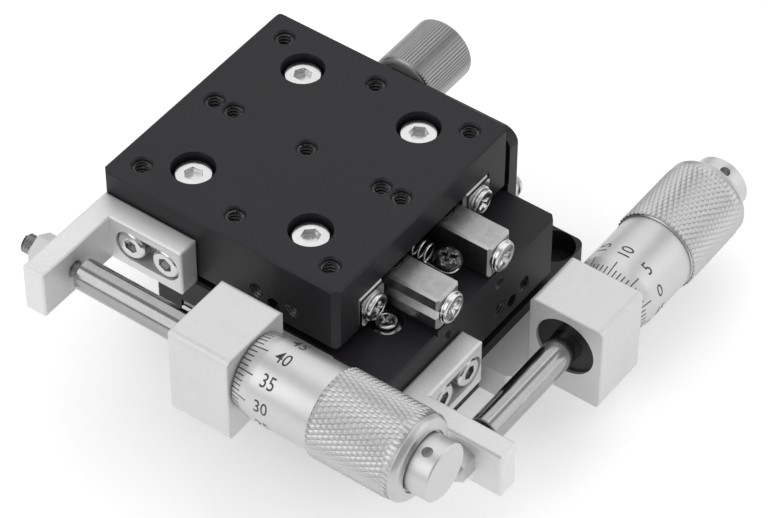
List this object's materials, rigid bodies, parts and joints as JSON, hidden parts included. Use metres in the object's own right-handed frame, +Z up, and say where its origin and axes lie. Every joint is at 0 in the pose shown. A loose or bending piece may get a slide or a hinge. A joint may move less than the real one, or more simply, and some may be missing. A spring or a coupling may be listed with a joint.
{
  "type": "translation stage",
  "caption": "Two-axis crossed-roller translation stage: stacked square carriages, each driven by a side-mounted micrometer head against a sprung anvil bracket, with a knurled lock.",
  "frame": {"origin": "centre of the underside of the base", "axes": "+Z up; +X along the upper axis, from its anvil to its thimble; +Y along the lower axis, from its anvil to its thimble"},
  "size_m": [0.1056, 0.1261, 0.048],
  "materials": {
    "black_anodised": "black anodised, satin",
    "clear_anodised": "bead-blasted and clear anodised, matt",
    "ground_steel": "ground",
    "cage_steel": "rolled strip",
    "roller_steel": "polished",
    "black_steel": "black oxide",
    "nickel_screws": "nickel plated",
    "spring_steel": "drawn wire",
    "black_bush": "black, satin",
    "polished_steel": "ground and polished",
    "satin_chrome": "satin chrome"
  },
  "bodies": {
    "base": {"base_block": "black_anodised", "y_inner_rails": "ground_steel", "y_inner_rail_screws": "black_steel", "y_rail_end_screws": "nickel_screws", "y_lower_spring_post": "black_steel", "y_return_spring": "spring_steel", "y_holder": "clear_anodised", "y_holder_screws": "nickel_screws", "y_sleeve": "satin_chrome", "y_front_bush": "black_bush", "y_lock_plate": "black_anodised", "y_lock_plate_screws": "nickel_screws"},
    "cross": {"cross_block": "black_anodised", "y_outer_rails": "ground_steel", "y_outer_rail_screws": "nickel_screws", "y_rail_end_plates": "nickel_screws", "y_plate_screws": "nickel_screws", "y_preload_screws": "black_steel", "y_upper_spring_post": "black_steel", "y_bracket": "clear_anodised", "y_bracket_screws": "nickel_screws", "y_anvil_screw": "nickel_screws", "y_anvil_nut": "nickel_screws", "x_inner_rails": "ground_steel", "x_inner_rail_screws": "black_steel", "x_rail_end_screws": "nickel_screws", "x_lower_spring_post": "black_steel", "x_return_spring": "spring_steel", "x_holder": "clear_anodised", "x_holder_screws": "nickel_screws", "x_sleeve": "satin_chrome", "x_front_bush": "black_bush", "x_lock_plate": "black_anodised", "x_lock_plate_screws": "nickel_screws"},
    "table": {"table_block": "black_anodised", "x_outer_rails": "ground_steel", "x_outer_rail_screws": "nickel_screws", "x_rail_end_plates": "nickel_screws", "x_plate_screws": "nickel_screws", "x_preload_screws": "black_steel", "x_upper_spring_post": "black_steel", "x_bracket": "clear_anodised", "x_bracket_screws": "nickel_screws", "x_anvil_screw": "nickel_screws", "x_anvil_nut": "nickel_screws"},
    "x_screw": {"x_spindle": "polished_steel", "x_thimble": "satin_chrome", "x_grip": "satin_chrome", "x_end_cap": "satin_chrome"},
    "y_screw": {"y_spindle": "polished_steel", "y_thimble": "satin_chrome", "y_grip": "satin_chrome", "y_end_cap": "satin_chrome"},
    "x_cage": {"x_roller_cages": "cage_steel", "x_rollers": "roller_steel"},
    "y_cage": {"y_roller_cages": "cage_steel", "y_rollers": "roller_steel"},
    "x_lock": {"x_lock_knob": "satin_chrome"},
    "y_lock": {"y_lock_knob": "satin_chrome"}
  },
  "joints": [
    {"name": "y_slide", "type": "slide", "parent": "base", "child": "cross", "axis": [0, 1, 0], "range_m": [0, 0.025], "deforming": ["y_return_spring"]},
    {"name": "x_slide", "type": "slide", "parent": "cross", "child": "table", "axis": [1, 0, 0], "range_m": [0, 0.025], "deforming": ["x_return_spring"]},
    {"name": "y_thimble_spin", "type": "hinge", "parent": "cross", "child": "y_screw", "pos_m": [0.0468, 0.03, 0.01815], "axis": [0, 1, 0], "range_deg": [0, 18000]},
    {"name": "x_thimble_spin", "type": "hinge", "parent": "table", "child": "x_screw", "pos_m": [0.03, -0.0593, 0.03665], "axis": [1, 0, 0], "range_deg": [0, 18000]},
    {"name": "y_cage_slide", "type": "slide", "parent": "base", "child": "y_cage", "axis": [0, 1, 0], "range_m": [0, 0.0125]},
    {"name": "x_cage_slide", "type": "slide", "parent": "cross", "child": "x_cage", "axis": [1, 0, 0], "range_m": [0, 0.0125]},
    {"name": "y_lock_spin", "type": "hinge", "parent": "cross", "child": "y_lock", "pos_m": [-0.04, -0.0125, 0.0215], "axis": [-1, 0, 0], "range_deg": [-150, 0]},
    {"name": "x_lock_spin", "type": "hinge", "parent": "table", "child": "x_lock", "pos_m": [-0.0125, 0.03, 0.04], "axis": [0, 1, 0], "range_deg": [-150, 0]}
  ],
  "couplings": [
    {"joint": "y_thimble_spin", "follows": "y_slide", "rad_per_m": 12566},
    {"joint": "x_thimble_spin", "follows": "x_slide", "rad_per_m": 12566},
    {"joint": "y_cage_slide", "follows": "y_slide", "ratio": 0.5},
    {"joint": "x_cage_slide", "follows": "x_slide", "ratio": 0.5}
  ]
}
